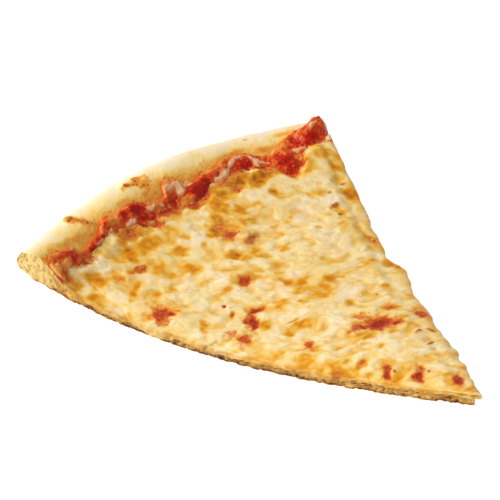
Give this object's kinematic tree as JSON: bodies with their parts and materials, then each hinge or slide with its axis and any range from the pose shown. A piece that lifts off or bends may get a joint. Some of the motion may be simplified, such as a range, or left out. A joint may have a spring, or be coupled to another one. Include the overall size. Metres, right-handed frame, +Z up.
{
  "type": "cheese pizza slice",
  "caption": "Wedge of thin-crust cheese pizza with a raised rim, a band of tomato sauce and browned melted cheese, curled up a little at its point and rim.",
  "frame": {"origin": "centre of the bounding box's bottom face: the slice's underside rests on z = 0", "axes": "+Y from the point towards the raised rim, +Z up out of the cheese, +X to the right when the slice is seen from above with its rim away"},
  "size_m": [0.1566, 0.2024, 0.0314],
  "materials": {
    "baked_dough": "baked bread crust, pale and floury on top, browned and spotted below, open crumb at the cuts",
    "tomato_sauce": "wet, slightly grainy cooked tomato sauce",
    "melted_cheese": "melted mozzarella, cream to golden, soft oily sheen, with orange-brown blisters"
  },
  "bodies": {
    "root": {"crust": "baked_dough", "sauce": "tomato_sauce", "cheese": "melted_cheese"}
  },
  "joints": []
}
